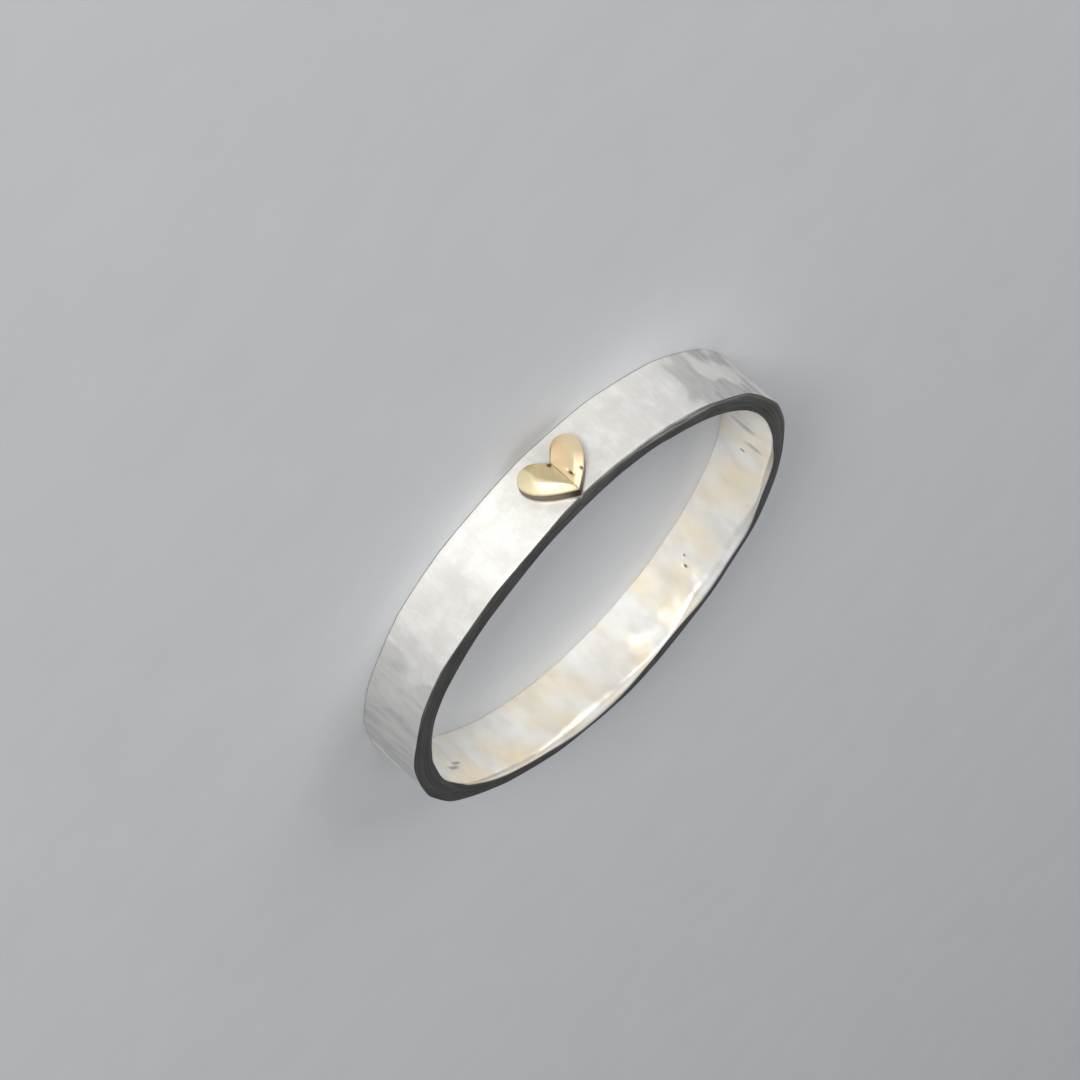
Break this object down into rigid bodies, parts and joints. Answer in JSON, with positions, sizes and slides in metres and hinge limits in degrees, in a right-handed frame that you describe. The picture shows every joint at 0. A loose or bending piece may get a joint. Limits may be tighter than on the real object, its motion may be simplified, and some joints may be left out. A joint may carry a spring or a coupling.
{
  "type": "stackable ring",
  "caption": "Narrow stacking finger ring with a softly hammered band and a small raised heart soldered to the outside, lying on its edge.",
  "frame": {"origin": "on the ring's axis, level with the flat lower edge that the ring lies on", "axes": "+Z along the ring's axis, up out of the upper edge; the heart faces -Y with its tip towards +Z; +X to the right of the heart"},
  "size_m": [0.0192, 0.0198, 0.0027],
  "materials": {
    "silver": "planished silver, satin outside and polished inside",
    "gold": "polished pale yellow gold"
  },
  "bodies": {
    "root": {"ring": "silver"}
  },
  "joints": []
}
